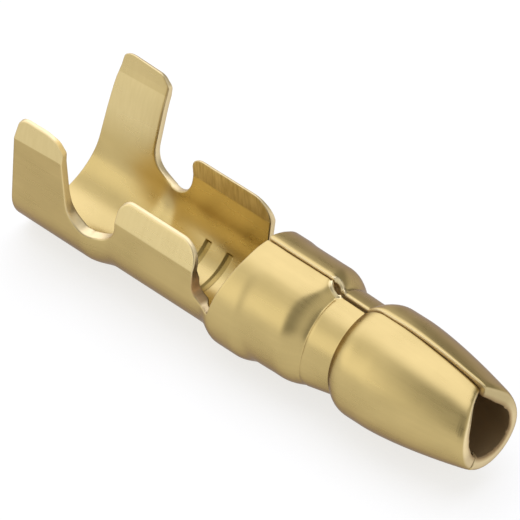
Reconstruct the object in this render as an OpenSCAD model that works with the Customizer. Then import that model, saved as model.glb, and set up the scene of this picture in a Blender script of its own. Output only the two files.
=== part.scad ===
// Round crimp connector: a male bullet terminal pressed from one strip of brass sheet.
// X runs along the plug towards its open nose, Z points up through the seam, and the
// origin is the middle of the head's widest land.  All sizes are in millimetres.

/* [Sheet] */
// Thickness of the brass strip
sheet_t = 0.28; // [0.2:0.01:0.4]
// Gap of the seam along the barrel
seam_barrel = 0.10; // [0.06:0.01:0.2]
// Gap of the seam across the neck
seam_neck = 0.18; // [0.08:0.01:0.3]
// Gap of the seam at the nose
seam_nose = 0.22; // [0.08:0.01:0.4]
// Diameter of the relief hole where the seam meets the shoulder
seam_relief_d = 0.26; // [0.2:0.02:0.4]

/* [Plug head] */
// Widest diameter of the head, which the socket grips
head_d = 4.0; // [3.4:0.05:5]
// Length of the straight land at the widest diameter
land_len = 0.7; // [0.4:0.05:1.6]
// Length of the taper from the land to the nose
taper_len = 3.98; // [2.5:0.02:5]
// Outer diameter at the open nose
nose_d = 2.68; // [2.2:0.02:3.2]
// How late the taper falls away: one is a plain cone
taper_power = 1.5; // [1:0.05:2]
// Length of the rise from the neck to the land
head_rise_len = 0.77; // [0.5:0.01:1.2]
// How steeply the rise starts at the neck: one is a plain cone
head_rise_power = 2.2; // [1:0.1:3]
// Radius that rounds off the top of the nose, seen from the side
nose_round = 1.8; // [1:0.1:2.4]

/* [Neck and barrel] */
// Diameter of the neck where the head starts
neck_d = 3.3; // [2.8:0.05:3.7]
// Diameter of the neck at the crease under the shoulder
neck_back_d = 3.74; // [3.2:0.02:4]
// Length of the tapered neck
neck_len = 1.13; // [0.5:0.01:1.6]
// Length of the rounded shoulder from barrel to neck
shoulder_len = 0.8; // [0.4:0.05:1.5]
// Diameter of the barrel
barrel_d = 4.14; // [3.6:0.02:5]
// Length of the straight barrel
barrel_len = 2.35; // [1.5:0.05:3.5]
// How far the mouth behind the barrel swells past it
mouth_swell = 0.11; // [0:0.01:0.2]
// How far the mouth sits below the axis, so that it swells only on its underside
mouth_drop = 0.13; // [0.05:0.01:0.2]
// How far the swell of the mouth runs forward under the barrel
mouth_reach = 1.4; // [0.6:0.05:2]

/* [Conductor wings] */
// Outside diameter of the rounded floor under the wings
wing_floor_d = 3.92; // [3.4:0.02:4.4]
// Length of the wings along the strip
wing_len = 3.47; // [2.5:0.01:5]
// Gap along the strip between the wings and the barrel
wing_gap = 1.4; // [0.8:0.05:2]
// Outward lean of the wings
wing_lean = 2.5; // [0:0.5:12]
// Height of the fold in the wings above the axis
wing_fold_z = 0.94; // [0.5:0.02:1.4]
// Inward turn of the wing tips at the fold, on the outside
wing_fold_angle = 22; // [5:1:45]
// Length of the wing tip past the fold
wing_tip_len = 0.88; // [0.3:0.02:1.2]
// Corner radius at the back of the wing tips
wing_back_r = 0.5; // [0.2:0.05:0.7]
// Corner radius at the front of the wing tips
wing_front_r = 0.75; // [0.2:0.05:0.9]
// Height at which the wings' front edge turns forward into the notch, from the axis
wing_front_z = 0.1; // [-0.2:0.05:0.5]
// Depth of the grip grooves pressed into the floor
groove_depth = 0.09; // [0.05:0.01:0.15]
// Width of each grip groove
groove_w = 0.26; // [0.15:0.01:0.4]
// Spacing of the grip grooves
groove_pitch = 0.95; // [0.6:0.02:1.2]
// Distance from the front of the wings to the first grip groove
groove_start = 0.36; // [0.2:0.02:1]
// Height at which the grip grooves end, from the axis
groove_top_z = -0.95; // [-1.4:0.05:0]

/* [Insulation ears] */
// Outside diameter of the rounded floor under the ears
ear_floor_d = 4.4; // [3.8:0.02:5]
// Length of the ears where they leave the floor
ear_len = 2.45; // [1.8:0.05:3.5]
// Forward slope of the ears' back edge
ear_back_slope = 9.5; // [0:0.5:15]
// Outward lean of the ears
ear_lean = 10; // [0:0.5:20]
// Height of the fold in the ears above the axis
ear_fold_z = 2.6; // [1.6:0.05:3.5]
// Inward turn of the ear tips at the fold, on the outside
ear_fold_angle = 17; // [5:1:45]
// Length of the ear tip past the fold
ear_tip_len = 0.92; // [0.3:0.02:1.2]
// Corner radius at the back of the ear tips
ear_back_r = 0.28; // [0.1:0.02:0.6]
// Corner cut at the front of the ear tips
ear_front_cut = 0.3; // [0.1:0.02:0.6]

/* [Notches] */
// Width of the notch between ear and wing
notch_w = 1.82; // [1.2:0.02:2.6]
// Height of the bottom of that notch, from the axis
notch_z = -0.15; // [-0.6:0.05:0.4]
// Height of the bottom of the notch between wing and barrel, from the axis
mouth_notch_z = -0.16; // [-0.8:0.02:0.2]
// Width at the bottom of the notch between wing and barrel
mouth_notch_w = 0.36; // [0.2:0.02:0.6]
// How far the barrel's lower rear edge reaches back towards the wings
barrel_tongue = 0.52; // [0.2:0.02:0.8]
// How much less the tips turn in on the inside, which thins them towards their edge
tip_thinning = 10; // [0:1:12]

/* [Hidden] */
$fn = 96;
steps = 14;
brass = [0.80, 0.66, 0.36];

// overlap and inset of the tongues that tie one stretch of sheet to the next
lap = 0.06;
inset = 0.03;
// how far a leg's foot is tucked into the floor's curve
foot_tuck = 0.004;

head_r = head_d/2;
nose_r = nose_d/2;
neck_r = neck_d/2;
neck_back_r = neck_back_d/2;
barrel_r = barrel_d/2;
wing_r = wing_floor_d/2;
ear_r = ear_floor_d/2;

// stations along the axis, from the nose to the back of the ears
x_nose = land_len/2 + taper_len;
x_land = -land_len/2;
x_neck_end = x_land - head_rise_len;
x_neck = x_neck_end - neck_len;
x_shoulder = x_neck - shoulder_len;
x_barrel = x_shoulder - barrel_len;
x_wing_front = x_barrel - wing_gap;
x_wing_back = x_wing_front - wing_len;
x_ear_front = x_wing_back - notch_w;
x_ear_back = x_ear_front - ear_len;
x_step_back = x_ear_front + notch_w/4;
x_step_front = x_wing_back - notch_w/8;
x_mouth_back = x_wing_front + lap;
x_mouth_front = x_barrel + mouth_reach;
// the mouth's underside is pressed flat, level with the floor of the ears
rest_z = -max(ear_r, barrel_r + mouth_drop/2);
// room past the outline, for cutting through
clear = 1;
tall = 8;

// smooth step from zero to one
function ease(u) = let (v = min(max(u, 0), 1)) v*v*(3 - 2*v);

// radius of the plug's outside at a station
function plug_r(x) =
    x <= x_barrel ? wing_r + inset + (barrel_r - wing_r - inset)*(x - x_wing_front)/wing_gap :
    x <= x_shoulder ? barrel_r :
    x <= x_neck ? barrel_r - (barrel_r - neck_back_r)*pow((x - x_shoulder)/shoulder_len, 2) :
    x <= x_neck_end ? neck_back_r + (neck_r - neck_back_r)*(x - x_neck)/neck_len :
    x <= x_land ? head_r - (head_r - neck_r)*pow((x_land - x)/head_rise_len, head_rise_power) :
    x <= land_len/2 ? head_r :
    head_r - (head_r - nose_r)*pow((x - land_len/2)/taper_len, taper_power);

// stations across one stretch of the plug
function stretch(a, b, n) = [for (i = [0 : n - 1]) a + (b - a)*i/n];
plug_x = concat([x_wing_front], stretch(x_barrel, x_shoulder, 1),
                stretch(x_shoulder, x_neck, steps), stretch(x_neck, x_neck_end, 1),
                stretch(x_neck_end, x_land, steps),
                stretch(x_land, land_len/2, 1), stretch(land_len/2, x_nose, steps));

// slope of the plug's outside, for a wall of even thickness
function plug_slope(x) = (plug_r(x + 0.01) - plug_r(x - 0.01))/0.02;
function inner_r(x) = plug_r(x) - sheet_t*sqrt(1 + pow(plug_slope(x), 2));

// radius of the swollen mouth at a station: it opens from the wings' floor and closes on the barrel
mouth_r = barrel_r + mouth_swell;
x_swell_back = x_barrel - 0.3*wing_gap;
x_swell_front = x_barrel + 0.3*mouth_reach;
function mouth_out(x) =
    let (back_r = wing_r - mouth_drop - inset, front_r = barrel_r - mouth_drop - inset)
    let (opening = ease((x - x_mouth_back)/(x_swell_back - x_mouth_back)))
    let (closing = ease((x - x_swell_front)/(x_mouth_front - x_swell_front)))
    back_r + (mouth_r - back_r)*opening - (mouth_r - front_r)*closing;
mouth_x = concat(stretch(x_mouth_back, x_swell_back, steps), stretch(x_swell_back, x_swell_front, 1),
                 stretch(x_swell_front, x_mouth_front, steps), [x_mouth_front]);

// a polygon's corner [x, z, r] turned into an arc
function unit(v) = v/norm(v);
function corner(a, b, c) =
    let (p = [b[0], b[1]], d = unit([a[0], a[1]] - p), e = unit([c[0], c[1]] - p))
    let (half = acos(min(max(d*e, -1), 1))/2, run = b[2]/tan(half))
    let (m = p + unit(d + e)*b[2]/sin(half), s = p + d*run - m, f = p + e*run - m)
    let (turn = 180 - 2*half, way = s[0]*f[1] - s[1]*f[0] > 0 ? 1 : -1)
    b[2] == 0 ? [p] :
    [for (i = [0 : steps]) let (w = way*turn*i/steps)
        m + [s[0]*cos(w) - s[1]*sin(w), s[0]*sin(w) + s[1]*cos(w)]];
function rounded(pts) =
    let (n = len(pts))
    [for (i = [0 : n - 1]) each corner(pts[(i + n - 1) % n], pts[i], pts[(i + 1) % n])];

// revolves a profile of [radius, station] about the plug's axis
module about_axis(profile) {
    rotate([0, 90, 0])
        rotate_extrude()
            polygon(profile);
}

// a cross-section drawn in Y and Z, drawn out along the strip
module along_strip(from, to) {
    translate([from, 0, 0])
        rotate([90, 0, 90])
            linear_extrude(to - from)
                children();
}

// half of a bent section, as [y, z, radius]: from the floor up the leg, over the fold to the tip
function leg_path(r, lean, fold_z, turn, tip_len, wall) =
    let (out_leg = [cos(lean), -sin(lean)], out_tip = [cos(turn - lean), sin(turn - lean)])
    let (crest = [(r - foot_tuck + fold_z*sin(lean))/cos(lean), fold_z])
    let (fold = crest - wall*(out_leg + out_tip)/(1 + out_leg*out_tip))
    let (foot = (r - foot_tuck - wall)*out_leg, tip = fold + tip_len*[-out_tip[1], out_tip[0]])
    [[foot[0], foot[1], 0], [fold[0], fold[1], 0], [tip[0], tip[1], 0]];

// a rounded floor with two leaning legs, filled, drawn inside the sheet by the wall given
module filled_section(r, lean, fold_z, turn, tip_len, wall) {
    right = leg_path(r, lean, fold_z, turn, tip_len, wall);
    left = [for (i = [2 : -1 : 0]) [-right[i][0], right[i][1], right[i][2]]];
    circle(r - wall);
    polygon(rounded(concat(right, left)));
}

// heights of the tips above the axis
ear_top = ear_fold_z + ear_tip_len*cos(ear_fold_angle - ear_lean);
wing_top = wing_fold_z + wing_tip_len*cos(wing_fold_angle - wing_lean);

// side view of the strip: ears, notch, wings, notch, and the barrel's slanted back edge
module side_outline() {
    lean_x = tan(ear_back_slope);
    notch_r = notch_w/2 - 0.02;
    gap_mid = x_barrel - barrel_tongue - mouth_notch_w/2;
    nose_top = 0.8*nose_r;
    polygon(rounded([
        [x_ear_back - ear_r*lean_x, -ear_r - clear, 0],
        [x_ear_back + ear_top*lean_x, ear_top, ear_back_r],
        [x_ear_front - ear_front_cut, ear_top, ear_front_cut],
        [x_ear_front, ear_top - 1.5*ear_front_cut, ear_front_cut],
        [x_ear_front, notch_z, notch_r],
        [x_wing_back, notch_z, notch_r],
        [x_wing_back, wing_top, wing_back_r],
        [x_wing_front, wing_top, wing_front_r],
        [x_wing_front, wing_front_z, mouth_notch_w],
        [gap_mid - mouth_notch_w/2, mouth_notch_z, mouth_notch_w/4],
        [gap_mid + mouth_notch_w/2, mouth_notch_z, mouth_notch_w/4],
        [x_barrel - barrel_tongue/2, barrel_r/2, mouth_notch_w],
        [x_barrel, barrel_r, 0],
        [x_barrel, barrel_r + clear, 0],
        [x_nose - 1.6*(barrel_r + clear - nose_top), barrel_r + clear, 0],
        [x_nose, nose_top, nose_round],
        [x_nose, -ear_r - clear, 0]]));
}

// outside of the plug, barrel and mouth, or the hollow inside them
module plug_solid(hollow) {
    wall = hollow ? sheet_t : 0;
    end = x_nose + (hollow ? clear : lap);
    about_axis(concat([[0, plug_x[0]]],
        [for (x = concat(plug_x, [x_nose])) [hollow ? inner_r(x) : plug_r(x), x]],
        [[hollow ? inner_r(x_nose) : plug_r(end), end], [0, end]]));
    intersection() {
        translate([0, 0, -mouth_drop])
            about_axis(concat([[0, x_mouth_back]],
                [for (x = mouth_x) [mouth_out(x) - wall, x]],
                [[0, x_mouth_front]]));
        translate([x_mouth_back - clear, -tall/2, rest_z + wall])
            cube([x_mouth_front - x_mouth_back + 2*clear, tall, tall]);
    }
}

// step from the wings' floor up to the wider floor of the ears, or the hollow inside it
module floor_step(wall) {
    about_axis([[0, x_step_back - lap], [ear_r - wall - inset, x_step_back - lap],
                [ear_r - wall - inset, x_step_back], [ear_r - wall, x_step_back],
                [wing_r - wall, x_step_front], [wing_r - wall - inset, x_step_front],
                [wing_r - wall - inset, x_step_front + lap], [0, x_step_front + lap]]);
}

// the wings that are crimped on the bare conductor, or the channel between them
module conductor_wings(wall) {
    spare = wall > 0 ? clear : 0;
    turn = wing_fold_angle - (wall > 0 ? tip_thinning : 0);
    along_strip(x_step_front, x_wing_front + wing_gap/4)
        filled_section(wing_r, wing_lean, wing_fold_z, turn, wing_tip_len + spare, wall);
}

// the taller ears that are crimped on the wire's insulation, or the channel between them
module insulation_ears(wall) {
    spare = wall > 0 ? clear : 0;
    turn = ear_fold_angle - (wall > 0 ? tip_thinning : 0);
    along_strip(x_ear_back - clear - spare, x_step_back)
        filled_section(ear_r, ear_lean, ear_fold_z, turn, ear_tip_len + spare, wall);
}

// gap of the seam, seen from above
module seam() {
    relief_x = x_neck - seam_relief_d/2;
    translate([0, 0, neck_r/3])
        linear_extrude(tall) {
            polygon([[x_wing_front, -seam_barrel/2], [relief_x, -seam_barrel/2],
                     [x_neck, -seam_neck/2], [x_neck_end, -seam_neck/2],
                     [x_land, -seam_barrel/2], [x_nose + clear, -seam_nose/2],
                     [x_nose + clear, seam_nose/2], [x_land, seam_barrel/2],
                     [x_neck_end, seam_neck/2], [x_neck, seam_neck/2],
                     [relief_x, seam_barrel/2], [x_wing_front, seam_barrel/2]]);
            translate([relief_x, 0])
                circle(d = seam_relief_d, $fn = 24);
        }
}

// grip grooves across the floor under the wings, each pressed in as a shallow vee
module grip_grooves() {
    floor_r = wing_r - sheet_t;
    intersection() {
        for (i = [0 : 2])
            translate([x_wing_front - groove_start - i*groove_pitch, 0, 0])
                about_axis([[0, -groove_w/2], [floor_r - inset, -groove_w/2],
                            [floor_r + groove_depth, 0],
                            [floor_r - inset, groove_w/2], [0, groove_w/2]]);
        translate([x_wing_back, -tall, groove_top_z - tall])
            cube([wing_len, 2*tall, tall]);
    }
}

// keeps what lies inside the strip's side view
module trimmed() {
    intersection() {
        children();
        translate([0, tall, 0])
            rotate([90, 0, 0])
                linear_extrude(2*tall)
                    side_outline();
    }
}

module bullet_terminal() {
    color(brass)
        difference() {
            union() {
                trimmed() plug_solid(false);
                trimmed() floor_step(0);
                trimmed() conductor_wings(0);
                trimmed() insulation_ears(0);
            }
            plug_solid(true);
            floor_step(sheet_t);
            conductor_wings(sheet_t);
            insulation_ears(sheet_t);
            seam();
            grip_grooves();
        }
}

bullet_terminal();
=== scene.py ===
# Round crimp connector: a brass bullet terminal.
# A flat blank is cut with a rounded sheared rim; a tree of nodes then rolls and folds it
# into the plug, the crimp wings and the insulation ears.
import math

import bpy
import numpy as np
from mathutils import Matrix, Vector
from mathutils.geometry import delaunay_2d_cdt
from mathutils.kdtree import KDTree


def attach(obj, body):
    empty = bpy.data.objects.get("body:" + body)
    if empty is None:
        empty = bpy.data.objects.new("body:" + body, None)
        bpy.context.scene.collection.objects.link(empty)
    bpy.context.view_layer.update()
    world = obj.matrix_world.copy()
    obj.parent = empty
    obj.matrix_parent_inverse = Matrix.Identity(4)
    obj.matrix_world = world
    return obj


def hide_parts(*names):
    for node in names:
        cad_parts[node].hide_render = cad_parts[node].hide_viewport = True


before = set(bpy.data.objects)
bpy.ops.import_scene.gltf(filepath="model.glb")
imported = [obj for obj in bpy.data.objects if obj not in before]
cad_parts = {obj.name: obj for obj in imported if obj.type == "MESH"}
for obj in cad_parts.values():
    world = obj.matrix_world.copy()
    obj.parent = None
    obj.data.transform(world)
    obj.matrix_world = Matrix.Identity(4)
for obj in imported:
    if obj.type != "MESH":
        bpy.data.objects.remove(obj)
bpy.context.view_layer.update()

MM = 0.001

# sizes of the sheet's sections, in millimetres and radians
SIZES = {
    "Sheet thickness": 0.28,
    "Nose radius": 1.34,
    "Head radius": 2.0,
    "Neck radius": 1.65,
    "Crease radius": 1.87,
    "Barrel radius": 2.07,
    "Mouth radius": 2.18,
    "Mouth drop": 0.13,
    "Wing floor radius": 1.96,
    "Wing lean": math.radians(2.5),
    "Wing leg": 1.003,
    "Wing fold": math.radians(22),
    "Ear floor radius": 2.2,
    "Ear lean": math.radians(10),
    "Ear leg": 3.01,
    "Ear fold": math.radians(17),
    "Fold radius": 0.12,
    "Tip thinning": math.radians(10),
    "Rest level": -2.2,
    "Groove depth": 0.09,
    "Seam step": 0.22,
}

# stations along the strip, from the nose to the back of the ears
NOSE, LAND_FRONT, LAND_BACK = 4.33, 0.35, -0.35
NECK_FRONT, NECK_BACK, SHOULDER, BARREL_END = -1.12, -2.25, -3.0, -5.4
MOUTH_FRONT, SWELL_FRONT, SWELL_BACK, MOUTH_BACK = -4.0, -4.98, -5.82, -6.74
WING_FRONT, WING_BACK, EAR_FRONT, EAR_BACK = -6.8, -10.27, -12.09, -14.54
STEP_FRONT, STEP_BACK = -10.4975, -11.635
PLUG_BACK, NOTCH_MIDDLE = -6.4, -11.18
RELIEF = -2.38

# outline of the strip, seen from the side
EAR_TOP, WING_TOP = 3.5131, 1.7695
EAR_BACK_SLOPE = math.tan(math.radians(9.5))
NOTCH_Z, MOUTH_NOTCH_Z = -0.15, -0.16

# the blank is measured across as if it were rolled on this radius: minus is the near side
ROLL_R = 2.0
NOTCH_ACROSS = 3.84
NEAR_WING_LOW, NEAR_WING_HIGH = (-2.3, -2.7), (-4.0, -3.6)

# curves of the plug, and the crease behind its neck
TAPER_POWER, RISE_POWER, SHOULDER_POWER = 1.5, 2.2, 1.8
SHOULDER_EASE, SHARP_START, SHARP_END = 0.1, 0.3, 0.1
UPPER_CREASE = 0.19
CREASE_LINE, CREASE_LINE_HALF = 0.025, 0.07
NOSE_CUT, NOSE_CUT_WIDTH, NOSE_CUT_POWER = 0.55, 2.5, 1.8

# swollen mouth: how deep it starts, how softly it leaves the strip, how far in front it fades
MOUTH_SUNK, MOUTH_BLEND, MOUTH_FADE = 0.03, 0.0036, 0.6

# grip grooves, and the angles from the bottom between which they end
GROOVES = (-7.16, -8.11, -9.06)
GROOVE_HALF, GROOVE_FLANK = 0.13, 0.04
GROOVE_ENDS = (0.985, 0.965)

# half gaps of the seam at its stations, the relief hole, and the lip raised round it
SEAM_STATIONS = (BARREL_END, RELIEF, NECK_BACK, NECK_FRONT, LAND_BACK, NOSE)
SEAM_HALVES = (0.015, 0.015, 0.055, 0.055, 0.01, 0.025)
RELIEF_HALF, RELIEF_REACH, RELIEF_STRIP_R = 0.085, 0.09, 2.05
LIP_R, LIP_HALF, LIP_RISE = 0.21, 0.09, 0.09

# the far half stands proud of the seam by shares of its step, with a curled edge
PROUD_BARREL, PROUD_HEAD_LESS, PROUD_NOSE_MORE, PROUD_ANGLE = 0.5, 0.1, 0.6, 0.62
SEAM_CURL, SEAM_CURL_SPAN = 0.025, (0.09, 0.01)

# rim of the nose: turned in outside, thickened and burred inside
RIM_TURN_IN, RIM_TURN_LENGTH = 0.06, 0.25
RIM_THICK, RIM_THICK_BELOW, RIM_THICK_FAR, RIM_LENGTH = 0.35, 0.15, 0.4, 1.0
RIM_FAR_SPAN, RIM_FACE_TILT, RIM_FACE_SPAN = (1.4, 0.4), 0.2, (3.4, 4.2)
BURR, BURR_FLOOR, BURR_LENGTH, BURR_SPAN = 0.14, 0.45, 0.1, (0.5, 1.0)

# thicker edges on the near side, as a share of the sheet
THICK_EDGE = 0.5
WING_EDGE_BACK, WING_EDGE_FRONT = (-7.2, -6.85), (-6.25, -6.4)
NOTCH_EDGE_SPAN, NOTCH_EDGE_HIGH = (1.25, 0.95), (4.6, 3.0)

# the ears' tips are shorter by these shares; their tops fall and their backs lean backwards
FAR_TIP_SHORT, FAR_TIP_MORE, FAR_TIP_SPAN = 0.12, 0.12, (-14.2, -12.4)
NEAR_TIP_SHORT, NEAR_TIP_MORE, NEAR_TIP_SPAN = 0.2, 0.1, (-12.95, -12.35)
EAR_FALL, EAR_FALL_ALONG, EAR_FALL_UP = 0.15, (-12.3, -14.5), (3.5, 6.0)
EAR_PULL, FAR_EAR_SPAN, NEAR_EAR_SPAN = 0.18, (-11.2, -12.0), (-12.1, -14.4)
FAR_EAR_LEAN, FAR_LEAN_UP, FAR_LEAN_ALONG = 0.22, (3.0, 5.6), (-13.3, -14.3)

# the slope of the strip is taken over this step; a lean this far back never folds the plug
SLOPE_STEP, NEVER_FOLDS = 0.02, 4.0

# marks on the nose: a crack in its rim; each scratch has a station, a start and an end across
CRACK = -1.4
CRACK_DIP, CRACK_DIP_HALF, CRACK_DIP_LENGTH = 0.08, (0.14, 0.05), (0.32, 0.1)
CRACK_PULL, CRACK_PULL_HALF, CRACK_PULL_LENGTH = 0.16, (0.13, 0.05), 0.2
CORNER_PULL, CORNER_PULL_SPAN, CORNER_PULL_ALONG = 0.11, (1.0, 0.1), (3.0, 4.0)
SCRATCHES = ((3.88, -4.5, -3.9), (3.97, -4.45, -3.75), (4.05, -4.35, -3.8))
SCRATCH_SLANT, SCRATCH_HALF, SCRATCH_FADE = 0.09, (0.016, 0.006), 0.1

# mesh of the blank: steps, rounded rim, and extra grid marks at creases, grooves and folds
GRID = 0.1
RIM_STEP, OUTLINE_STEP, SEAM_STEP = 0.05, 0.03, 0.02
BLANK_BACK, BLANK_FRONT, BLANK_HALF = -15.0, 4.4, 7.51
EDGE_R, CORNER_R = 0.05, 0.07
EDGE_TURNS = (0.5, 1.05, math.pi / 2)
SHEARED_START = 0.3
CREASE_MARKS = np.array((-0.06, -0.03, 0.0, 0.03, 0.06))
GROOVE_MARKS = np.array((-0.16, -0.13, -0.09, -0.06, 0.06, 0.09, 0.13, 0.16))
FLOOR_MARKS = np.array((1.33, 1.37, 1.43, 1.47, 1.9, 1.93, 1.97, 2.0, 6.15))
FOLD_MARKS = np.array((-0.04, 0.0, 0.02, 0.04, 0.08))
RINGS = (0.13, 0.16, 0.19, 0.22, 0.25, 0.28, 0.31, 0.35)
RING_TURN, RING_CLEAR = 0.26, 0.36
CROWDED, RIM_CLEAR = 0.019, 0.035

# noise in the brass: its scale along, across and through the strip, and its detail
CLOUD = ((0.5, 0.8, 4.0), 3.0)
STREAK = ((0.35, 5.0, 9.0), 3.0)
FINE_LINES = ((0.5, 22.0, 30.0), 2.0)
TOOL_STROKES = ((9.0, 1.2, 3.0), 2.0)
SPECK_SCALE, SPECK_SIZE = (0.42, 0.42, 3.0), (0.028, 0.016)

# rolled brass, and the share and colour of the finishes, and of the painted light and shade, laid
# over it
ROLLED_DULL, ROLLED_BRIGHT = (0.475, 0.362, 0.15), (0.575, 0.44, 0.187)
# the second colour darkens specks and scratches, and paints shade into the crack in the nose's rim
COINED, SOIL_AND_CRACK_SHADE = (0.7, 0.565, 0.28), (0.22, 0.16, 0.07)
FINISHES_AND_PAINTED_LIGHT = {
    "tool strokes": (0.8, (0.92, 0.78, 0.45)),
    # painted light: the inside of the wing on the far side is made lighter
    "far wing light": (0.6, (0.68, 0.53, 0.225)),
    # painted shade in the grip grooves
    "grooves": (0.8, (0.3, 0.21, 0.06)),
    "sheared edges": (0.8, (0.8, 0.66, 0.4)),
    # painted shade on the near wing's front edge, and painted light on its upright part
    "near wing edge shade": (0.9, (0.22, 0.135, 0.055)),
    "upright wing edge light": (0.9, (0.85, 0.58, 0.28)),
    # painted highlight on the near ear's front edge
    "near ear edge highlight": (0.9, (0.95, 0.76, 0.36)),
    # the nose's rim: painted shade on its far side, a painted highlight on its near side
    "far rim shade": (0.8, (0.5, 0.4, 0.2)),
    "near rim highlight": (0.8, (1.0, 0.83, 0.48)),
    "bore": (0.8, (0.5, 0.36, 0.2)),
    # painted highlight on the relief hole's raised lip
    "hole lip highlight": (0.8, (0.8, 0.68, 0.42)),
}
GRAZING_TINT = (0.45, 0.4, 0.46, 1)
ROUGH = 0.24
ROUGHER = {
    "cloud": 0.06,
    "streak": 0.05,
    "sheared edges": 0.12,
    "specks": 0.2,
    "wing tips": 0.15,
    "bore": 0.45,
    "upright wing edge light": 0.4,
    "near ear edge highlight": 0.35,
}
BUMP_STRENGTH, BUMP_HEIGHT = 0.05, 0.000003

# where the finishes and the painted light and shade start and are full: along the strip, across it
# and through it
INNER_FACE = (0.1, 0.2)
BORE_BACK, BORE_DEPTH = (-5.2, -4.2), (0.15, 0.25)
WING_TIP_LOW, WING_TIP_FRONT, WING_TIP_BACK = (4.06, 4.1), (-6.7, -6.8), (-11.2, -11.1)
EAR_TIP_LOW, EAR_TIP_FRONT = (5.8, 5.84), (-11.1, -11.2)
EAR_FACE_LOW, EAR_FACE_FRONT = (3.2, 4.4), (-11.4, -11.9)
FAR_WING_LOW, FAR_WING_HIGH = (1.8, 3.0), (4.2, 4.0)
FAR_WING_FRONT, FAR_WING_BACK = (-6.7, -7.2), (-10.6, -10.0)
GROOVE_SHADE_EDGE, GROOVE_SHADE_ENDS, GROOVE_SHADE_DEPTH = 0.03, (2.0, 1.96), (0.1, 0.15)
BROWN_BACK, BROWN_FOOT, BROWN_FRONT = (-7.0, -6.9), (-5.8, -6.0), (-6.3, -6.4)
BROWN_UPRIGHT = (-6.62, -6.74)
EAR_EDGE_BACK, EAR_EDGE_FRONT, EAR_EDGE_LOW = (-12.6, -12.4), (-11.3, -11.6), (-3.6, -4.2)
RIM_TONE_BACK, FAR_RIM, NEAR_RIM = (3.4, 3.7), (3.4, 4.6), (-2.4, -3.2)
CRACK_TONE_HALF, CRACK_TONE_BACK = (0.13, 0.07), (4.02, 4.12)
LIP_TONE = (0.34, 0.24)

# camera: turn, rise and roll in degrees, place in millimetres
CAMERA_TURN, CAMERA_RISE, CAMERA_ROLL = 39.3, 38.6, 5.32
CAMERA_PLACE = (86.4, -112.5, 117.1)
CAMERA_LENS, CAMERA_SENSOR = 400.4, 36

# floor's colour, and how bright the camera and the brass see it
FLOOR_COLOUR, FLOOR_GLOW = (0.3, 0.3, 0.297, 1), 0.7

# room's own level, its fill from the back and from the nose's side, and its large lights:
# direction, the spread between which each grows to full, and strength
ROOM_LEVEL, BACK_FILL, NOSE_FILL = 0.4, 0.7, 0.5
LIGHTS = {
    "wall": ((-0.667, -0.74, 0.087), (0.8, 0.95), 1.6),
    "window": ((-0.612, 0.354, 0.707), (0.75, 0.93), 1.8),
    "overhead": ((-0.1, 0.1, 0.99), (0.78, 0.93), 1.8),
}
ROOM_COLOUR, LAMP_COLOUR = (1.0, 1.0, 0.99), (1.0, 1.02, 1.14)


class Wire:
    """A value inside a node tree; arithmetic on it adds Math nodes."""

    def __init__(self, socket):
        self.socket = socket

    def __add__(self, other):
        return math_node("ADD", self, other)

    def __radd__(self, other):
        return math_node("ADD", other, self)

    def __sub__(self, other):
        return math_node("SUBTRACT", self, other)

    def __rsub__(self, other):
        return math_node("SUBTRACT", other, self)

    def __mul__(self, other):
        return math_node("MULTIPLY", self, other)

    def __rmul__(self, other):
        return math_node("MULTIPLY", other, self)

    def __truediv__(self, other):
        return math_node("DIVIDE", self, other)

    def __rtruediv__(self, other):
        return math_node("DIVIDE", other, self)


def plug_in(tree, port, value):
    """Feeds a wire or a plain number into a node's port."""
    if isinstance(value, Wire):
        tree.links.new(value.socket, port)
    else:
        port.default_value = value


def math_node(operation, *values):
    """Adds a Math node to the tree that the wires among the values belong to."""
    tree = next(v.socket.id_data for v in values if isinstance(v, Wire))
    node = tree.nodes.new("ShaderNodeMath")
    node.operation = operation
    for port, value in zip(node.inputs, values):
        plug_in(tree, port, value)
    return Wire(node.outputs[0])


def either(operation, plain):
    """A function of plain numbers that turns into a node when it is given a wire."""

    def call(*values):
        if any(isinstance(v, Wire) for v in values):
            return math_node(operation, *values)
        return plain(*values)

    return call


sine = either("SINE", math.sin)
cosine = either("COSINE", math.cos)
root = either("SQRT", math.sqrt)
size = either("ABSOLUTE", abs)
sign = either("SIGN", lambda a: (a > 0) - (a < 0))
lower = either("MINIMUM", min)
higher = either("MAXIMUM", max)
power = either("POWER", lambda a, b: a**b)


def slide(x, start, end, smooth=False):
    """Zero before start, one after end, straight or eased between them."""
    if isinstance(x, Wire):
        tree = x.socket.id_data
        node = tree.nodes.new("ShaderNodeMapRange")
        node.interpolation_type = "SMOOTHSTEP" if smooth else "LINEAR"
        for port, value in zip(node.inputs, (x, start, end, 0.0, 1.0)):
            plug_in(tree, port, value)
        return Wire(node.outputs[0])
    u = min(max((x - start) / (end - start), 0.0), 1.0)
    return u * u * (3 - 2 * u) if smooth else u


def ease(x, start, end):
    return slide(x, start, end, True)


def between(value, low, high):
    return lower(higher(value, low), high)


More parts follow.
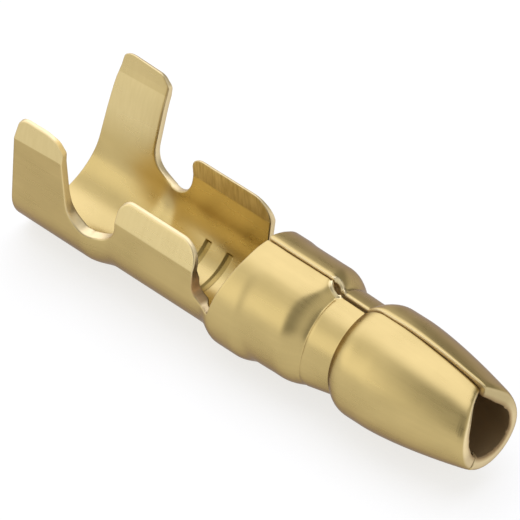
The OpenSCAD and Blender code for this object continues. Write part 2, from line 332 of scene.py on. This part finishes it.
def strip_radius(x, s, sharp=0.0, upper=0.0):
    """Outside radius of the rolled strip.

    The shoulder is sharper beside the seam, and its crease is deeper on the upper side.
    """
    ear, wing, barrel = s["Ear floor radius"], s["Wing floor radius"], s["Barrel radius"]
    neck, head, nose = s["Neck radius"], s["Head radius"], s["Nose radius"]
    crease = s["Crease radius"] - UPPER_CREASE * upper
    start = SHOULDER - SHOULDER_EASE + SHARP_START * sharp
    end = NECK_BACK - SHOULDER_EASE + SHARP_END * sharp
    return (
        ear
        + (wing - ear) * ease(x, STEP_BACK, STEP_FRONT)
        + (barrel - wing) * ease(x, WING_FRONT, BARREL_END)
        + (crease - barrel) * power(slide(x, start, end), SHOULDER_POWER)
        - CREASE_LINE * ease(size(x - NECK_BACK), CREASE_LINE_HALF, 0.0)
        + (neck - crease) * slide(x, NECK_BACK, NECK_FRONT)
        + (head - neck) * (1.0 - power(1.0 - slide(x, NECK_FRONT, LAND_BACK), RISE_POWER))
        - (head - nose) * power(slide(x, LAND_FRONT, NOSE), TAPER_POWER)
    )


def mouth_bulge(x, angle, radius, s):
    """How far the swollen mouth stands out past the strip's radius."""
    back = s["Wing floor radius"] - s["Mouth drop"] - MOUTH_SUNK
    front = s["Barrel radius"] - s["Mouth drop"] - MOUTH_SUNK
    reach = (
        back
        + (s["Mouth radius"] - back) * ease(x, MOUTH_BACK, SWELL_BACK)
        - (s["Mouth radius"] - front) * ease(x, SWELL_FRONT, MOUTH_FRONT)
        + s["Mouth drop"] * cosine(angle)
    )
    out = reach - radius
    swell = 0.5 * (out + root(out * out + MOUTH_BLEND))
    return swell * (1.0 - ease(x, MOUTH_FRONT, MOUTH_FRONT + MOUTH_FADE))


def groove_press(x, angle, s):
    """Depth of the grip grooves pressed into the floor between the wings."""
    pressed = 0.0
    for station in GROOVES:
        pressed = pressed + slide(size(x - station), GROOVE_HALF, GROOVE_HALF - GROOVE_FLANK)
    return s["Groove depth"] * pressed * slide(angle, *GROOVE_ENDS)


def nose_end(across):
    """How far forward the blank reaches: its corners are cut back beside the seam."""
    from_seam = (math.pi - across / ROLL_R) * SIZES["Nose radius"]
    corner = power(higher(1.0 - from_seam / NOSE_CUT_WIDTH, 0.0), NOSE_CUT_POWER)
    return NOSE - NOSE_CUT * corner


def hole_distance(x, from_seam):
    """Distance over the strip from the middle of the relief hole."""
    aside = from_seam * RELIEF_STRIP_R
    return root((x - RELIEF) * (x - RELIEF) + aside * aside)


def seam_lift(x, from_seam, far, s):
    """The far half stands a little proud along the seam, and the relief hole has a raised lip."""
    proud = PROUD_BARREL - PROUD_HEAD_LESS * ease(x, NECK_FRONT, LAND_BACK)
    proud = proud + PROUD_NOSE_MORE * slide(x, LAND_BACK, NOSE)
    proud = s["Seam step"] * proud * power(slide(from_seam, PROUD_ANGLE, 0.0), 2.0)
    curl = SEAM_CURL * power(slide(from_seam, *SEAM_CURL_SPAN), 2.0)
    lip = LIP_RISE * ease(size(hole_distance(x, from_seam) - LIP_R), LIP_HALF, 0.0)
    return far * (proud - curl) + lip * slide(x, BARREL_END, BARREL_END + 0.1)


def rim_dip(x, across, end):
    """How far the outside of the nose's rim turns in, with a dip at the crack."""
    turned_in = RIM_TURN_IN * power(slide(x, end - RIM_TURN_LENGTH, end), 2.0)
    dip = CRACK_DIP * slide(size(across - CRACK), *CRACK_DIP_HALF)
    start, full = CRACK_DIP_LENGTH
    return turned_in, dip * slide(x, end - start, end - full)


def rim_growth(x, angle, far, from_seam, end):
    """How much thicker the nose's rim is than the sheet: most of all at the far half's top."""
    rim = RIM_THICK + RIM_THICK_BELOW * cosine(angle)
    rim = rim + RIM_THICK_FAR * far * ease(from_seam, *RIM_FAR_SPAN)
    return rim * ease(x, end - RIM_LENGTH, end - 0.1)


def rim_burr(x, across, from_seam, end):
    """Burrs on the inside of the nose's rim."""
    waves = sine(across * 6.1 + 0.5) * sine(across * 2.7 + 2.0)
    burr = BURR * higher(waves - BURR_FLOOR, 0.0)
    return burr * slide(x, end - BURR_LENGTH, end) * ease(from_seam, *BURR_SPAN)


def thick_edges(x, across, run, far):
    """One where the near wing's front edge and the near notch's edge are thicker."""
    wing_edge = (
        ease(x, *WING_EDGE_BACK)
        * slide(x, *WING_EDGE_FRONT)
        * slide(across, *NEAR_WING_LOW)
        * slide(across, *NEAR_WING_HIGH)
    )
    along, aside = x - NOTCH_MIDDLE, run - NOTCH_ACROSS
    from_notch = root(along * along + aside * aside)
    notch_edge = (1.0 - far) * ease(from_notch, *NOTCH_EDGE_SPAN) * ease(run, *NOTCH_EDGE_HIGH)
    return wing_edge + notch_edge


def ear_shortening(x, far_ear):
    """Share that the turned-in tips of the ears are shorter by; the two ears differ."""
    far_share = FAR_TIP_SHORT + FAR_TIP_MORE * slide(x, *FAR_TIP_SPAN)
    near_share = NEAR_TIP_SHORT + NEAR_TIP_MORE * ease(x, *NEAR_TIP_SPAN)
    return far_ear * far_share + (1.0 - far_ear) * near_share


def pull_along(x, across, run, far, far_ear, from_seam, end):
    """How far forming draws the sheet along: at the nose's corners, the crack and the ears."""
    corners = CORNER_PULL * (2.0 * far - 1.0) * ease(from_seam, *CORNER_PULL_SPAN)
    corners = corners * ease(x, *CORNER_PULL_ALONG)
    crack = CRACK_PULL * slide(size(across - CRACK), *CRACK_PULL_HALF)
    crack = crack * slide(x, end - CRACK_PULL_LENGTH, end)
    ears = far_ear * ease(x, *FAR_EAR_SPAN) + (1.0 - far_ear) * slide(x, *NEAR_EAR_SPAN)
    lean = FAR_EAR_LEAN * far_ear * slide(run, *FAR_LEAN_UP) * slide(x, *FAR_LEAN_ALONG)
    return corners - crack - EAR_PULL * ears - lean


def rolled(x, across, depth, s, uneven=1.0):
    """Where a point of the flat blank ends up once the strip is rolled and folded.

    At an uneven of zero both ears keep their full height, to which the outline is measured.
    """
    run = size(across)
    from_seam = math.pi - run / ROLL_R
    far, far_ear = slide(across, -0.1, 0.1), ease(across, -1.5, 1.5)
    sharp, upper = ease(from_seam, 0.7, 0.15), ease(from_seam, 2.1, 1.3)
    radius = strip_radius(x, s, sharp, upper)
    ahead = strip_radius(x + SLOPE_STEP, s, sharp, upper)
    behind = strip_radius(x - SLOPE_STEP, s, sharp, upper)
    slope = (ahead - behind) / (2 * SLOPE_STEP)
    even = 1.0 / root(1.0 + slope * slope)
    on_wings = slide(x, NOTCH_MIDDLE - 0.01, NOTCH_MIDDLE + 0.01)
    on_plug = slide(x, PLUG_BACK - 0.02, PLUG_BACK)
    lean = s["Ear lean"] + (s["Wing lean"] - s["Ear lean"]) * on_wings - NEVER_FOLDS * on_plug
    leg = s["Ear leg"] + (s["Wing leg"] - s["Ear leg"]) * on_wings
    fold = s["Ear fold"] + (s["Wing fold"] - s["Ear fold"]) * on_wings
    fold_r = s["Fold radius"]

    full = math.pi / 2 - lean
    angle = lower(run / ROLL_R, full)
    past_floor = run - full * ROLL_R
    up = between(past_floor, 0.0, leg)
    bend = between((past_floor - leg) / fold_r, 0.0, fold)
    tip = higher(past_floor - leg - fold * fold_r, 0.0)
    tip = tip * (1.0 - uneven * ear_shortening(x, far_ear) * (1.0 - on_wings))
    thinned = 1.0 - s["Tip thinning"] / fold * depth / s["Sheet thickness"]
    turn = angle + bend * thinned
    fold_r = fold_r / thinned

    reach = radius + mouth_bulge(x, angle, radius, s) + seam_lift(x, from_seam, far, s)
    end = nose_end(run)
    for inward in rim_dip(x, across, end):
        reach = reach - inward
    inner = slide(depth, 0.8 * s["Sheet thickness"], s["Sheet thickness"])
    burr = rim_burr(x, across, from_seam, end)
    grown = even + rim_growth(x, angle, far, from_seam, end)
    grown = grown + THICK_EDGE * thick_edges(x, across, run, far)
    wall = depth * grown + (burr - groove_press(x, angle, s)) * inner
    reach = reach - wall
    y = reach * sine(angle) + up * cosine(angle) + fold_r * (sine(turn) - sine(angle))
    z = up * sine(angle) - reach * cosine(angle) + fold_r * (cosine(angle) - cosine(turn))
    y = (y + tip * cosine(turn)) * sign(across)
    fall = EAR_FALL * slide(x, *EAR_FALL_ALONG) * slide(run, *EAR_FALL_UP)
    z = z + tip * sine(turn) - fall
    z = higher(z, s["Rest level"] + depth)
    face = far_ear * ease(x, *RIM_FACE_SPAN)
    pull = pull_along(x, across, run, far, far_ear, from_seam, end)
    return x + wall * (slope + RIM_FACE_TILT * face) + pull, y, z


def height(x, across):
    return rolled(x, across, 0.0, SIZES, 0.0)[2]


def across_at(x, z):
    """How far across the blank the rolled strip reaches a height."""
    low, high = 0.0, 8.0
    for _ in range(40):
        mid = (low + high) / 2
        low, high = (mid, high) if height(x, mid) < z else (low, mid)
    return (low + high) / 2


def rounded(corners):
    """Turns corners of (x, z, radius) into a line with arcs; the two ends stay sharp."""
    line = [corners[0][:2]]
    for before, here, after in zip(corners, corners[1:], corners[2:]):
        p = Vector(here[:2])
        d, e = (Vector(before[:2]) - p).normalized(), (Vector(after[:2]) - p).normalized()
        half = d.angle(e) / 2
        if here[2] == 0 or half > 1.57:
            line.append(tuple(p))
            continue
        middle = p + (d + e).normalized() * here[2] / math.sin(half)
        start = p + d * here[2] / math.tan(half) - middle
        end = p + e * here[2] / math.tan(half) - middle
        swing = start.angle_signed(end)
        for i in range(17):
            line.append(tuple(middle + Matrix.Rotation(-swing * i / 16, 2) @ start))
    line.append(corners[-1][:2])
    return line


def even_steps(line, step):
    """The same line with points at even steps."""
    points = np.array(line)
    gaps = np.hypot(*np.diff(points, axis=0).T)
    along = np.concatenate([[0], np.cumsum(gaps)])
    count = max(2, round(along[-1] / step))
    at = np.linspace(0, along[-1], count + 1)
    return np.stack([np.interp(at, along, points[:, 0]), np.interp(at, along, points[:, 1])], 1)


def seam_half_gap(x):
    """Half the gap of the seam, with the relief hole at the shoulder."""
    hole = RELIEF_HALF * math.exp(-(((x - RELIEF) / RELIEF_REACH) ** 4))
    return np.interp(x, SEAM_STATIONS, SEAM_HALVES) + hole


def seam_line(x):
    return (math.pi - seam_half_gap(x) / strip_radius(x, SIZES)) * ROLL_R


def blank_outline():
    """Half of the blank's edge, from the middle of its back round the ear and wing to the nose."""
    bottom = SIZES["Rest level"]
    back_low = EAR_BACK + bottom * EAR_BACK_SLOPE
    back_high = EAR_BACK + EAR_TOP * EAR_BACK_SLOPE
    back_step = (back_high - back_low) / (EAR_TOP - bottom + 1.0)
    side = [
        (back_low + back_step, bottom, 0),
        (back_high, EAR_TOP, 0.42),
        (EAR_FRONT - 0.3, EAR_TOP, 0.3),
        (EAR_FRONT, EAR_TOP - 0.45, 0.3),
        (EAR_FRONT, NOTCH_Z, 0.89),
        (WING_BACK, NOTCH_Z, 0.89),
        (WING_BACK, WING_TOP, 0.5),
        (WING_FRONT, WING_TOP, 0.75),
        (WING_FRONT, 0.1, 0.36),
        (-6.28, MOUTH_NOTCH_Z, 0.09),
        (-5.92, MOUTH_NOTCH_Z, 0.09),
        (BARREL_END - 0.26, 1.035, 0.36),
        (BARREL_END - 0.04, 1.87, 0),
    ]
    side = even_steps(rounded(side), OUTLINE_STEP)
    line = [(x, across_at(x, z)) for x, z in side]
    line[0] = (line[0][0], 0.0)
    nose_corner = nose_end(math.pi * ROLL_R)
    seam = np.arange(BARREL_END + 0.2, nose_corner - 0.15, SEAM_STEP)
    seam = [BARREL_END + 0.12, *seam, nose_corner - 0.1]
    line += rounded(
        [
            line[-1] + (0,),
            (BARREL_END, seam_line(BARREL_END), CORNER_R),
            *[(x, seam_line(x), 0) for x in seam],
            (nose_corner, seam_line(nose_corner), CORNER_R),
            *[(nose_end(q), q, 0) for q in np.arange(5.9, 0, -0.1)],
            (NOSE, 0.0, 0),
        ]
    )[1:]
    return even_steps(line, RIM_STEP)


def inside(points, loop):
    """Which points lie inside a closed loop."""
    hit = np.zeros(len(points), bool)
    for a, b in zip(loop, np.roll(loop, -1, 0)):
        if a[1] == b[1]:
            continue
        spans = (a[1] > points[:, 1]) != (b[1] > points[:, 1])
        hit ^= spans & (points[:, 0] < a[0] + (points[:, 1] - a[1]) * (b[0] - a[0]) / (b[1] - a[1]))
    return hit


def inward_of(loop):
    """Unit directions into a closed loop, one at each of its points."""
    ahead, behind = np.roll(loop, -1, 0) - loop, loop - np.roll(loop, 1, 0)
    ahead /= np.linalg.norm(ahead, axis=1)[:, None]
    behind /= np.linalg.norm(behind, axis=1)[:, None]
    inward = np.stack([ahead[:, 1] + behind[:, 1], -ahead[:, 0] - behind[:, 0]], 1)
    return inward / np.linalg.norm(inward, axis=1)[:, None]


def spaced(marks):
    """Grid marks in order; an even mark that crowds another one is left out."""
    marks = np.unique(np.round(marks, 4))
    even = np.abs(marks / GRID - np.round(marks / GRID)) < 1e-6
    gap = np.minimum(np.diff(marks, prepend=-99), np.diff(marks, append=99))
    return marks[~even | (gap > CROWDED)]


def face_points(face_loop):
    """Grid over the blank's faces, with rings of points round the relief hole."""
    columns = [np.arange(BLANK_BACK, BLANK_FRONT, GRID)]
    columns += [station + GROOVE_MARKS for station in GROOVES]
    columns += [crease + CREASE_MARKS for crease in (NECK_FRONT, NECK_BACK)]
    columns = spaced(np.concatenate(columns))
    rows = [np.arange(0, BLANK_HALF, GRID), FLOOR_MARKS]
    for name in ("Wing", "Ear"):
        fold = (math.pi / 2 - SIZES[name + " lean"]) * ROLL_R + SIZES[name + " leg"]
        rows.append(fold + FOLD_MARKS)
    rows = spaced(np.concatenate(rows))
    rows = np.concatenate([-rows[:0:-1], rows])
    grid = np.stack(np.meshgrid(columns, rows, indexing="ij"), -1).reshape(-1, 2)
    turns = np.arange(0, 6.28, RING_TURN)
    rings = [r * np.array((math.cos(a), math.sin(a))) for r in RINGS for a in turns]
    for side in (-1, 1):
        hole = np.array((RELIEF, side * math.pi * ROLL_R))
        grid = grid[np.hypot(*(grid - hole).T) > RING_CLEAR]
        grid = np.concatenate([grid, hole + rings])
    grid = grid[inside(grid, face_loop)]
    rim = KDTree(len(face_loop))
    for i, p in enumerate(face_loop):
        rim.insert((p[0], p[1], 0), i)
    rim.balance()
    return [p for p in grid if rim.find((p[0], p[1], 0))[2] > RIM_CLEAR]


def cut_blank():
    """The flat blank as a thin plate: x along the strip, y across it, z through the sheet."""
    half = blank_outline()
    loop = np.concatenate([half, (half * (1, -1))[-2:0:-1]])
    inward = inward_of(loop)
    face_loop = loop + inward * EDGE_R
    count = len(face_loop)
    flat = [Vector(p) for p in face_loop] + [Vector(p) for p in face_points(face_loop)]
    flat, _, tris, came_from, _, _ = delaunay_2d_cdt(flat, [], [list(range(count))], 1, 1e-6)
    at = {source: i for i, sources in enumerate(came_from) for source in sources}

    t, n = SIZES["Sheet thickness"], len(flat)
    verts = [(p.x, p.y, 0.0) for p in flat] + [(p.x, p.y, t) for p in flat]
    sheared = [0.0] * (2 * n)
    faces = [tuple(reversed(f)) for f in tris] + [tuple(i + n for i in f) for f in tris]
    bends = [(1 - math.sin(a), 1 - math.cos(a)) for a in EDGE_TURNS]
    rounds = [(EDGE_R * i, EDGE_R * d) for i, d in bends]
    rounds += [(i, t - d) for i, d in reversed(rounds)]
    rows = [[at[i] for i in range(count)]]
    for inset, depth in rounds:
        first = len(verts)
        verts += [(p[0], p[1], depth) for p in loop + inward * inset]
        bare = min(SHEARED_START + depth / EDGE_R, SHEARED_START + (t - depth) / EDGE_R)
        sheared += [min(1.0, bare)] * count
        rows.append(list(range(first, first + count)))
    rows.append([at[i] + n for i in range(count)])
    for upper, under in zip(rows, rows[1:]):
        for i in range(count):
            j = (i + 1) % count
            faces.append((upper[i], under[i], under[j], upper[j]))
    mesh = bpy.data.meshes.new("bullet_terminal_blank")
    mesh.from_pydata(verts, [], faces)
    mesh.attributes.new("sheared", "FLOAT", "POINT").data.foreach_set("value", sheared)
    mesh.validate()
    return mesh


def forming_tree(brass):
    """Nodes that roll the blank into the plug and fold its wings and ears."""
    tree = bpy.data.node_groups.new("roll_and_fold_strip", "GeometryNodeTree")
    ports = tree.interface
    ports.new_socket("Geometry", in_out="INPUT", socket_type="NodeSocketGeometry")
    for name, value in SIZES.items():
        port = ports.new_socket(name, in_out="INPUT", socket_type="NodeSocketFloat")
        port.default_value = value
    ports.new_socket("Geometry", in_out="OUTPUT", socket_type="NodeSocketGeometry")
    new, link = tree.nodes.new, tree.links.new
    given, made = new("NodeGroupInput"), new("NodeGroupOutput")
    sizes = {name: Wire(given.outputs[name]) for name in SIZES}

    place, parts = new("GeometryNodeInputPosition"), new("ShaderNodeSeparateXYZ")
    link(place.outputs[0], parts.inputs[0])
    x, across, depth = (Wire(port) for port in parts.outputs)
    keep = new("GeometryNodeStoreNamedAttribute")
    keep.data_type = "FLOAT_VECTOR"
    keep.inputs["Name"].default_value = "strip"
    link(given.outputs["Geometry"], keep.inputs["Geometry"])
    link(place.outputs[0], keep.inputs["Value"])

    formed = new("ShaderNodeCombineXYZ")
    for port, value in zip(formed.inputs, rolled(x, across, depth, sizes)):
        plug_in(tree, port, value * MM)
    move, smooth = new("GeometryNodeSetPosition"), new("GeometryNodeSetShadeSmooth")
    link(keep.outputs["Geometry"], move.inputs["Geometry"])
    link(formed.outputs[0], move.inputs["Position"])
    link(move.outputs[0], smooth.inputs["Geometry"])
    real, coat = new("GeometryNodeRealizeInstances"), new("GeometryNodeSetMaterial")
    coat.inputs["Material"].default_value = brass
    link(smooth.outputs[0], real.inputs[0])
    link(real.outputs[0], coat.inputs["Geometry"])
    link(coat.outputs[0], made.inputs[0])
    return tree


def form_terminal(brass):
    """The finished terminal as a plain mesh."""
    blank = bpy.data.objects.new("bullet_terminal_blank", cut_blank())
    bpy.context.scene.collection.objects.link(blank)
    press = blank.modifiers.new("press", "NODES")
    press.node_group = forming_tree(brass)
    for port in press.node_group.interface.items_tree:
        if port.in_out == "INPUT" and port.name in SIZES:
            press[port.identifier] = SIZES[port.name]
    seen = blank.evaluated_get(bpy.context.evaluated_depsgraph_get())
    mesh = bpy.data.meshes.new_from_object(seen)
    mesh.name = "formed_terminal"
    bpy.data.objects.remove(blank)
    piece = bpy.data.objects.new("formed_terminal", mesh)
    bpy.context.scene.collection.objects.link(piece)
    return piece


def scaled(tree, place, scale):
    """A place on the strip, stretched for a pattern."""
    node = tree.nodes.new("ShaderNodeCombineXYZ")
    for port, value, factor in zip(node.inputs, place, scale):
        plug_in(tree, port, value * factor)
    return node.outputs[0]


def noise_of(tree, place, scale, detail):
    """Noise from about zero to one over the strip."""
    node = tree.nodes.new("ShaderNodeTexNoise")
    node.inputs["Scale"].default_value = 1.0
    node.inputs["Detail"].default_value = detail
    tree.links.new(scaled(tree, place, scale), node.inputs["Vector"])
    return slide(Wire(node.outputs["Fac"]), 0.3, 0.7)


def specks_of(tree, place):
    """One on small dark specks, strewn over the strip."""
    spots = tree.nodes.new("ShaderNodeTexVoronoi")
    spots.inputs["Scale"].default_value = 1.0
    tree.links.new(scaled(tree, place, SPECK_SCALE), spots.inputs["Vector"])
    return slide(Wire(spots.outputs["Distance"]), *SPECK_SIZE)


def blend(tree, factor, first, second):
    """One colour fading into another."""
    node = tree.nodes.new("ShaderNodeMix")
    node.data_type = "RGBA"
    plug_in(tree, node.inputs["Factor"], factor)
    for port, colour in ((node.inputs[6], first), (node.inputs[7], second)):
        if isinstance(colour, tuple):
            port.default_value = (*colour, 1)
        else:
            tree.links.new(colour, port)
    return node.outputs[2]


def lay(tree, tone, tone_layer, where):
    """Lays one of the finishes, or a patch of painted light or shade, over the tone."""
    share, colour = FINISHES_AND_PAINTED_LIGHT[tone_layer]
    return blend(tree, where * share, tone, colour)


def far_wing_inside(x, across, within):
    """One on the inner face of the wing on the far side, below its turned-in tip, which is painted
    lighter: painted light.
    """
    high = within * slide(across, *FAR_WING_LOW) * slide(across, *FAR_WING_HIGH)
    return high * slide(x, *FAR_WING_FRONT) * slide(x, *FAR_WING_BACK)


def groove_shade(x, run, depth):
    """One in the grip grooves of the floor, whose channels are painted darker: painted shade."""
    pressed = 0.0
    for station in GROOVES:
        edge = GROOVE_HALF + GROOVE_SHADE_EDGE
        pressed = pressed + slide(size(x - station), edge, GROOVE_HALF)
    return pressed * slide(run, *GROOVE_SHADE_ENDS) * slide(depth, *GROOVE_SHADE_DEPTH)


def scratches_of(x, across):
    """One along the thin slanted scratches behind the nose's rim."""
    scratched = 0.0
    for station, start, end in SCRATCHES:
        middle, half = (start + end) / 2, (end - start) / 2
        nick = slide(size(x - station - SCRATCH_SLANT * (across - start)), *SCRATCH_HALF)
        scratched = scratched + nick * slide(size(across - middle), half, half - SCRATCH_FADE)
    return scratched


def tone_edges(tree, tone, x, across, sheared):
    """Tones of the sheared edges, with painted shade on the near wing's front edge and the far side
    of the nose's rim, and painted light on that edge's upright part, the near ear's front edge and
    the near side of the rim; also where the near wing and ear have duller front edges.
    """
    tone = lay(tree, tone, "sheared edges", sheared)
    foot = 0.5 * slide(x, *BROWN_FOOT) + 0.5 * slide(x, *BROWN_FRONT)
    front = slide(x, *BROWN_BACK) * foot
    front = front * slide(across, *NEAR_WING_LOW) * slide(across, *NEAR_WING_HIGH)
    front = sheared * front
    upright = front * slide(x, *BROWN_UPRIGHT)
    # painted shade on the near wing's front edge, and painted light on its upright part
    tone = lay(tree, tone, "near wing edge shade", front)
    tone = lay(tree, tone, "upright wing edge light", upright)
    ear_front = sheared * slide(x, *EAR_EDGE_BACK) * slide(x, *EAR_EDGE_FRONT)
    ear_front = ear_front * slide(across, *EAR_EDGE_LOW)
    # painted highlight on the near ear's front edge
    tone = lay(tree, tone, "near ear edge highlight", ear_front)
    # the nose's rim: painted shade on its far side, a painted highlight on its near side
    nose_rim = sheared * slide(x, *RIM_TONE_BACK)
    tone = lay(tree, tone, "far rim shade", nose_rim * slide(across, *FAR_RIM))
    tone = lay(tree, tone, "near rim highlight", nose_rim * slide(across, *NEAR_RIM))
    return tone, upright, ear_front


def brass_sheet():
    """Bright rolled brass, with coined tips, toned sheared edges and a brown bore; painted shade in
    the grooves, the crack, the near wing's front edge and the far side of the nose's rim; painted
    light on the inside of the wing on the far side, the upright part of the near wing's edge, the
    near ear's front edge, the near side of the rim and the relief hole's lip.
    """
    brass = bpy.data.materials.new("rolled_brass")
    brass.use_nodes = True
    tree = brass.node_tree
    shader = tree.nodes["Principled BSDF"]
    strip, cut = tree.nodes.new("ShaderNodeAttribute"), tree.nodes.new("ShaderNodeAttribute")
    strip.attribute_name, cut.attribute_name = "strip", "sheared"
    parts = tree.nodes.new("ShaderNodeSeparateXYZ")
    tree.links.new(strip.outputs["Vector"], parts.inputs[0])
    place = [Wire(port) for port in parts.outputs]
    x, across, depth = place
    run = size(across)
    sheared = Wire(cut.outputs["Fac"])
    within = slide(depth, *INNER_FACE)

    cloud = noise_of(tree, place, *CLOUD)
    streak = noise_of(tree, place, *STREAK) * (1.0 - 0.7 * within)
    lines = noise_of(tree, place, *FINE_LINES)
    strokes = noise_of(tree, place, *TOOL_STROKES)
    speck = specks_of(tree, place)
    bore = slide(x, *BORE_BACK) * slide(depth, *BORE_DEPTH)
    wing_tip = slide(run, *WING_TIP_LOW) * slide(x, *WING_TIP_FRONT) * slide(x, *WING_TIP_BACK)
    ear_tip = slide(run, *EAR_TIP_LOW) * slide(x, *EAR_TIP_FRONT)
    ear_face = slide(x, *EAR_FACE_FRONT) * slide(run, *EAR_FACE_LOW) * within * (1.0 - ear_tip)
    coined = wing_tip + ear_tip * (1.0 - 0.45 * within) + ear_face
    crack = slide(size(across - CRACK), *CRACK_TONE_HALF) * slide(x, *CRACK_TONE_BACK)
    # dark specks and scratches, and painted shade in the crack of the nose's rim
    soil_and_crack_shade = 0.6 * speck + 0.35 * scratches_of(x, across) + 0.85 * crack
    lip = slide(hole_distance(x, math.pi - run / ROLL_R), *LIP_TONE)

    tone = blend(tree, 0.7 * cloud + 0.3 * streak, ROLLED_DULL, ROLLED_BRIGHT)
    tone = blend(tree, coined * (0.7 + 0.15 * strokes), tone, COINED)
    tone = lay(tree, tone, "tool strokes", wing_tip * within * strokes)
    # painted light: the inside of the wing on the far side is made lighter
    tone = lay(tree, tone, "far wing light", far_wing_inside(x, across, within))
    # painted shade in the grip grooves
    tone = lay(tree, tone, "grooves", groove_shade(x, run, depth))
    tone, upright, ear_front = tone_edges(tree, tone, x, across, sheared)
    tone = lay(tree, tone, "bore", bore)
    # painted highlight on the relief hole's raised lip
    tone = lay(tree, tone, "hole lip highlight", lip)
    tone = blend(tree, lower(soil_and_crack_shade, 1.0), tone, SOIL_AND_CRACK_SHADE)
    tree.links.new(tone, shader.inputs["Base Color"])
    shader.inputs["Metallic"].default_value = 1.0
    shader.inputs["Specular Tint"].default_value = GRAZING_TINT
    rough_places = {
        "cloud": cloud,
        "streak": streak,
        "sheared edges": sheared,
        "specks": speck,
        "wing tips": wing_tip * within,
        "bore": bore,
        "upright wing edge light": upright,
        "near ear edge highlight": ear_front,
    }
    rough = ROUGH
    for name, where in rough_places.items():
        rough = rough + ROUGHER[name] * where
    plug_in(tree, shader.inputs["Roughness"], rough)
    bump = tree.nodes.new("ShaderNodeBump")
    bump.inputs["Strength"].default_value = BUMP_STRENGTH
    bump.inputs["Distance"].default_value = BUMP_HEIGHT
    grain = (0.15 * lines + 0.8 * streak) * (1.0 - within)
    plug_in(tree, bump.inputs["Height"], grain + coined * strokes - speck)
    tree.links.new(bump.outputs["Normal"], shader.inputs["Normal"])
    return brass


def place_camera():
    """Long lens, looking down on the terminal from the side of its nose."""
    turn, rise = math.radians(CAMERA_TURN), math.radians(CAMERA_RISE)
    roll = math.radians(CAMERA_ROLL)
    level = math.cos(rise)
    back = Vector((math.sin(turn) * level, -math.cos(turn) * level, math.sin(rise)))
    right = Vector((math.cos(turn), math.sin(turn), 0))
    up = back.cross(right)
    right, up = (
        right * math.cos(roll) + up * math.sin(roll),
        up * math.cos(roll) - right * math.sin(roll),
    )
    camera = bpy.data.objects.new("camera", bpy.data.cameras.new("camera"))
    camera.data.lens, camera.data.sensor_width = CAMERA_LENS, CAMERA_SENSOR
    camera.data.clip_start, camera.data.clip_end = 0.01, 5
    place = Matrix((right, up, back)).transposed().to_4x4()
    place.translation = Vector(CAMERA_PLACE) * MM
    camera.matrix_world = place
    bpy.context.scene.collection.objects.link(camera)
    bpy.context.scene.camera = camera


def lay_floor():
    """Wide pale floor under the terminal."""
    level = SIZES["Rest level"] * MM
    corners = [(-1, -1, level), (1, -1, level), (1, 1, level), (-1, 1, level)]
    mesh = bpy.data.meshes.new("floor")
    mesh.from_pydata(corners, [], [(0, 1, 2, 3)])
    floor = bpy.data.objects.new("floor", mesh)
    bpy.context.scene.collection.objects.link(floor)
    paper = bpy.data.materials.new("white_paper")
    paper.use_nodes = True
    tree = paper.node_tree
    shader = tree.nodes["Principled BSDF"]
    shader.inputs["Base Color"].default_value = FLOOR_COLOUR
    shader.inputs["Roughness"].default_value = 0.9
    shader.inputs["Specular IOR Level"].default_value = 0.0
    glow, add = tree.nodes.new("ShaderNodeEmission"), tree.nodes.new("ShaderNodeAddShader")
    path = tree.nodes.new("ShaderNodeLightPath")
    seen = Wire(path.outputs["Is Camera Ray"])
    for ray in ("Is Glossy Ray", "Is Transmission Ray"):
        seen = higher(seen, Wire(path.outputs[ray]))
    plug_in(tree, glow.inputs["Strength"], seen * FLOOR_GLOW)
    tree.links.new(shader.outputs[0], add.inputs[0])
    tree.links.new(glow.outputs[0], add.inputs[1])
    tree.links.new(add.outputs[0], tree.nodes["Material Output"].inputs["Surface"])
    mesh.materials.append(paper)


def light_studio():
    """Soft light overhead, a window behind the ears and a pale wall on the near left.

    A little light comes from the nose's side, and the far side stays dim.
    """
    world = bpy.data.worlds.new("studio")
    bpy.context.scene.world = world
    world.use_nodes = True
    tree = world.node_tree
    towards, parts = tree.nodes.new("ShaderNodeTexCoord"), tree.nodes.new("ShaderNodeSeparateXYZ")
    tree.links.new(towards.outputs["Generated"], parts.inputs[0])
    x, y, z = (Wire(port) for port in parts.outputs)
    room = ROOM_LEVEL + BACK_FILL * ease(-0.966 * x - 0.259 * y, 0.1, 0.6)
    room = room + NOSE_FILL * ease(x, 0.4, 0.8)
    shine = {}
    for name, (to, spread, strength) in LIGHTS.items():
        shine[name] = ease(to[0] * x + to[1] * y + to[2] * z, *spread)
        room = room + (strength - room) * shine[name]
    sky = tree.nodes["Background"]
    plug_in(tree, sky.inputs["Strength"], room)
    lamps = higher(shine["window"], shine["overhead"])
    tree.links.new(blend(tree, lamps, ROOM_COLOUR, LAMP_COLOUR), sky.inputs["Color"])


place_camera()
brass = brass_sheet()
terminal = form_terminal(brass)
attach(terminal, "root")
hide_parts("bullet_terminal")
lay_floor()
light_studio()

scene = bpy.context.scene
scene.view_settings.view_transform = "Standard"
